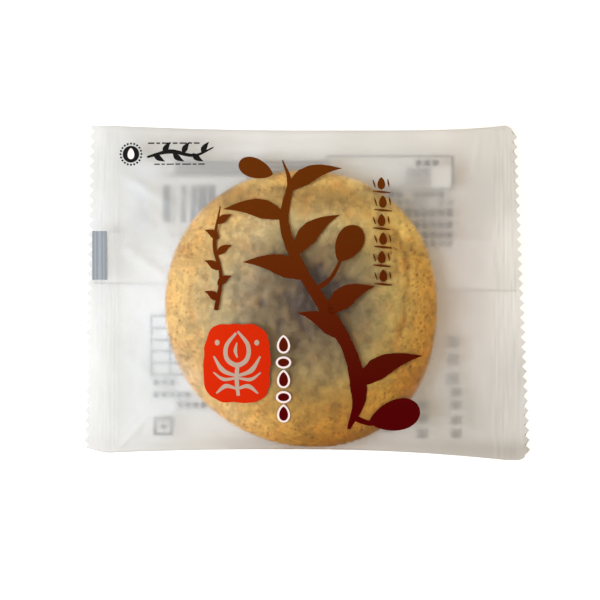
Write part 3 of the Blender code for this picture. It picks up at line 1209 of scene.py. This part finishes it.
CRUST_TONES = (
    # radius from the cookie's middle in mm, and the crust's colour there
    (6.0, (0.122, 0.082, 0.038)),
    (12.0, (0.17, 0.117, 0.053)),
    (17.0, (0.262, 0.188, 0.079)),
    (22.0, (0.39, 0.27, 0.096)),
    (27.0, (0.45, 0.275, 0.077)),
    (31.5, (0.56, 0.325, 0.08)),
    (34.5, (0.54, 0.3, 0.07)),
)
CRUST_REACH = 36.0
TONE_SHIFT = (3.6, 0.4)
BROWNING_AND_PAINTED_LIGHT = (
    # direction, share of the reach where it starts and ends, and its tint: the crust's own
    # browning and paleness, and painted light and painted shade on its rim and rings
    (300, 0.15, 0.95, (0.8, 0.66, 0.33)),
    (285, 0.75, 1.0, (0.64, 0.58, 0.22)),
    (270, 0.45, 0.6, (1.0, 0.97, 0.82)),
    (315, 0.82, 1.0, (0.88, 0.88, 0.7)),
    (225, 0.74, 0.88, (0.93, 0.93, 1.08)),
    (45, 0.08, 0.22, (0.92, 0.91, 0.9)),
    (45, 0.26, 0.38, (1.08, 1.1, 1.11)),
    (45, 0.78, 0.91, (1.15, 1.4, 2.05)),
    (90, 0.22, 0.4, (0.93, 0.88, 0.8)),
    (90, 0.42, 0.52, (1.22, 1.3, 1.4)),
    (90, 0.62, 0.74, (0.69, 0.65, 0.58)),
    (90, 0.81, 0.88, (1.62, 1.73, 1.88)),
    (250, 0.35, 0.55, (0.86, 0.82, 0.78)),
    (250, 0.58, 0.75, (1.16, 1.2, 1.24)),
    (170, 0.2, 0.4, (1.06, 1.09, 1.2)),
    (180, 0.18, 0.28, (1.1, 1.08, 1.12)),
    (180, 0.38, 0.5, (0.92, 0.94, 0.93)),
    (180, 0.5, 0.7, (0.95, 0.92, 0.88)),
    (180, 0.8, 0.98, (0.98, 0.93, 0.84)),
    (0, 0.3, 0.42, (1.04, 1.08, 1.09)),
    (0, 0.6, 0.75, (0.98, 0.95, 0.94)),
    (0, 0.3, 0.9, (1.1, 1.08, 0.85)),
    (235, 0.6, 0.9, (1.03, 1.15, 1.7)),
    (135, -0.15, 0.45, (1.0, 1.07, 1.33)),
    (125, 0.55, 0.9, (0.87, 0.87, 0.88)),
)
MOTTLES = (
    # size, detail, roughness and offset of the noise, its low and high end,
    # and the strength and tint of the patches that it makes
    (4.6, 2.0, 0.5, 90, 0.5, 0.66, 0.6, (1.1, 0.93, 0.82)),
    (1.9, 3.0, 0.6, 40, 0.42, 0.6, 0.55, (1.42, 1.4, 1.36)),
    (3.4, 3.0, 0.6, 70, 0.48, 0.64, 0.6, (0.6, 0.59, 0.56)),
)


def cookie_material():
    """Baked crumb: golden at the rim, greyish tan inside, dark chocolate in the middle."""
    n = Nodes("baked_crumb")
    middle = n.vector("SUBTRACT", n.place, (COOKIE_X, COOKIE_Y, 0))
    flat = n.vector("MULTIPLY", middle, (1 / CRUST_REACH, 1 / CRUST_REACH, 0))
    inward = n.maths("SUBTRACT", 1.0, n.length(flat))
    shift = (-TONE_SHIFT[0] / CRUST_REACH, -TONE_SHIFT[1] / CRUST_REACH, 0)
    shifted = n.vector("ADD", flat, n.vector("SCALE", shift, inward))
    wobble = n.ramp(n.noise(6.0, 4.0, 0.6), 0.3, 0.7, -0.05, 0.05)
    reach = n.maths("ADD", n.length(shifted), wobble)
    colour = n.new("ValToRGB", {"Fac": reach}, "Color")
    tones = colour.node.color_ramp.elements
    for index, (radius, tone) in enumerate(CRUST_TONES):
        element = tones[index] if index < 2 else tones.new(radius / CRUST_REACH)
        element.position = radius / CRUST_REACH
        element.color = (*tone, 1.0)
    # Tints by direction: partly the crust's own browning, partly painted light and painted shade
    for angle, start, end, tint in BROWNING_AND_PAINTED_LIGHT:
        heading = (cos(radians(angle)), sin(radians(angle)), 0)
        along = n.vector("DOT_PRODUCT", flat, heading)
        colour = n.mix(n.ramp(along, start, end), colour, tint, "MULTIPLY")
    for size, detail, rough, offset, low, high, strength, tint in MOTTLES:
        patch = n.ramp(n.noise(size, detail, rough, offset), low, high)
        colour = n.mix(n.maths("MULTIPLY", patch, strength), colour, tint, "MULTIPLY")
    speck = n.ramp(n.noise(1.1, 2.0, 0.6, 30), 0.56, 0.68)
    speck = n.maths("MULTIPLY", speck, n.ramp(reach, 0.5, 0.85, 0.1, 0.5))
    colour = n.mix(speck, colour, (0.62, 0.5, 0.38), "MULTIPLY")
    # Painted shade in the pits and grooves
    painted_pit_shade = n.ramp(n.attribute("pit"), 0.05, 0.6, 0.0, 0.85)
    colour = n.mix(painted_pit_shade, colour, (0.45, 0.32, 0.22), "MULTIPLY")
    chocolate = n.mix(n.noise(2.0, 3.0), (0.024, 0.012, 0.008), (0.09, 0.05, 0.034))
    core = n.attribute("core")
    n.feed(n.shader, {
        "Base Color": n.mix(n.ramp(core, 0.2, 0.95, 0.0, 0.88), colour, chocolate),
        "Roughness": n.ramp(core, 0.3, 0.8, 0.85, 0.6),
        "Specular IOR Level": 0.25,
        "Normal": n.bump(n.noise(0.45, 3.0, 0.65), 0.12, 0.9),
    })
    return n.material


INK_REACH = 34.0
INKS = {
    # tone at the low and at the high end of the print, and roughness
    "brown": ((0.055, 0.0008, 0.0012), (0.092, 0.021, 0.002), 0.6),
    "black": ((0.007, 0.006, 0.006), (0.009, 0.008, 0.008), 0.6),
    "red": ((0.41, 0.014, 0.002), (0.44, 0.019, 0.002), 0.6),
    "pale": ((0.31, 0.225, 0.17), (0.34, 0.255, 0.2), 0.7),
    "white": ((0.62, 0.53, 0.52), (0.62, 0.54, 0.53), 0.7),
    "panel": ((0.58, 0.58, 0.565), (0.6, 0.6, 0.59), 0.7),
    "grey": ((0.1, 0.105, 0.11), (0.1, 0.105, 0.115), 0.7),
    "faint": ((0.21, 0.203, 0.192), (0.2, 0.21, 0.225), 0.7),
    "block": ((0.195, 0.205, 0.215), (0.2, 0.215, 0.23), 0.6),
    "rib_highlight": ((0.235, 0.255, 0.285), (0.24, 0.265, 0.3), 0.6),
}


def ink_material(name, low, high, roughness):
    """Opaque ink whose tone runs from the low to the high end of Y."""
    n = Nodes(name)
    tone = n.mix(n.ramp(n.part("Y"), -INK_REACH, INK_REACH), low, high)
    mottled = n.noise(0.9, 3.0)
    n.feed(n.shader, {
        "Base Color": n.mix(mottled, tone, n.mix(0.12, tone, (0, 0, 0))),
        "Roughness": n.ramp(mottled, 0.3, 0.7, roughness - 0.05, roughness + 0.08),
        "Specular IOR Level": 0.0,
        "Normal": n.bump(mottled, 0.02, 0.3),
    })
    return n.material


def floor_material():
    """A pale floor, a hair bluer past the right end of the wrapper: painted light over the
    wrapper's shadow there.
    """
    n = Nodes("pale_floor")
    tone = n.mix(n.noise(60.0), (0.86, 0.86, 0.86), (0.9, 0.9, 0.9))
    # Painted light: lifts the floor where the wrapper's shadow falls
    beside = n.ramp(n.part("X"), 51.0, 57.0)
    tone = n.mix(beside, tone, (1.0, 1.01, 1.06), "MULTIPLY")
    n.feed(n.shader, {"Base Color": tone, "Roughness": 0.9})
    return n.material


# Stage

VIEW_CENTRE = (-1.625, -1.875)
CAMERA_HEIGHT = 500.0
FRAME_WIDTH = 150.0
SENSOR = 36.0
FLOOR_REACH = 3.0
ROOM_COLOUR = (1.0, 0.83, 0.61, 1)
ROOM_STRENGTH = 0.99
KEY_PLACE = (-0.31, -0.04, 0.26)
KEY_SIZE = 0.25
KEY_POWER = 2.6
KEY_COLOUR = (0.73, 0.875, 1.05)


def add_camera():
    data = bpy.data.cameras.new("camera")
    data.sensor_width = SENSOR
    data.lens = SENSOR * (CAMERA_HEIGHT - FOLD_HEIGHT) / FRAME_WIDTH
    data.clip_start = 0.01
    data.clip_end = 20
    camera = new_object("camera", data)
    camera.location = (VIEW_CENTRE[0] * MM, VIEW_CENTRE[1] * MM, CAMERA_HEIGHT * MM)
    bpy.context.scene.camera = camera


def add_key_light():
    """A soft square lamp at the left, turned to the wrapper's middle."""
    data = bpy.data.lights.new("key", "AREA")
    data.shape = "SQUARE"
    data.size = KEY_SIZE
    data.energy = KEY_POWER
    data.color = KEY_COLOUR
    light = new_object("key", data)
    light.location = KEY_PLACE
    light.rotation_mode = "QUATERNION"
    light.rotation_quaternion = (-Vector(KEY_PLACE)).to_track_quat("-Z", "Y")


def add_floor():
    mesh = bpy.data.meshes.new("floor")
    far = FLOOR_REACH
    corners = [(-far, -far, 0), (far, -far, 0), (far, far, 0), (-far, far, 0)]
    mesh.from_pydata(corners, [], [(0, 1, 2, 3)])
    mesh.materials.append(floor_material())
    floor = new_object("floor", mesh)


def add_room_light():
    world = bpy.data.worlds.new("soft_light")
    world.use_nodes = True
    background = world.node_tree.nodes["Background"]
    background.inputs["Color"].default_value = ROOM_COLOUR
    background.inputs["Strength"].default_value = ROOM_STRENGTH
    bpy.context.scene.world = world
    bpy.context.scene.view_settings.view_transform = "Standard"


def add_pack():
    add_film(film_material())
    add_flap(flap_material())
    add_cookie(cookie_material())
    ink = {name: ink_material(name + "_ink", *look) for name, look in INKS.items()}
    add_branch(ink["brown"])
    add_small_sprigs(ink["brown"])
    add_badge(ink["red"])
    add_badge_motif(ink["pale"])
    add_label(ink["brown"], ink["white"])
    add_emblem(ink["black"], ink["white"])
    add_edge_mark(ink["block"], ink["rib_highlight"])
    add_back_print(ink["grey"], ink["faint"], ink["panel"])


add_pack()
add_floor()
add_room_light()
add_key_light()
add_camera()
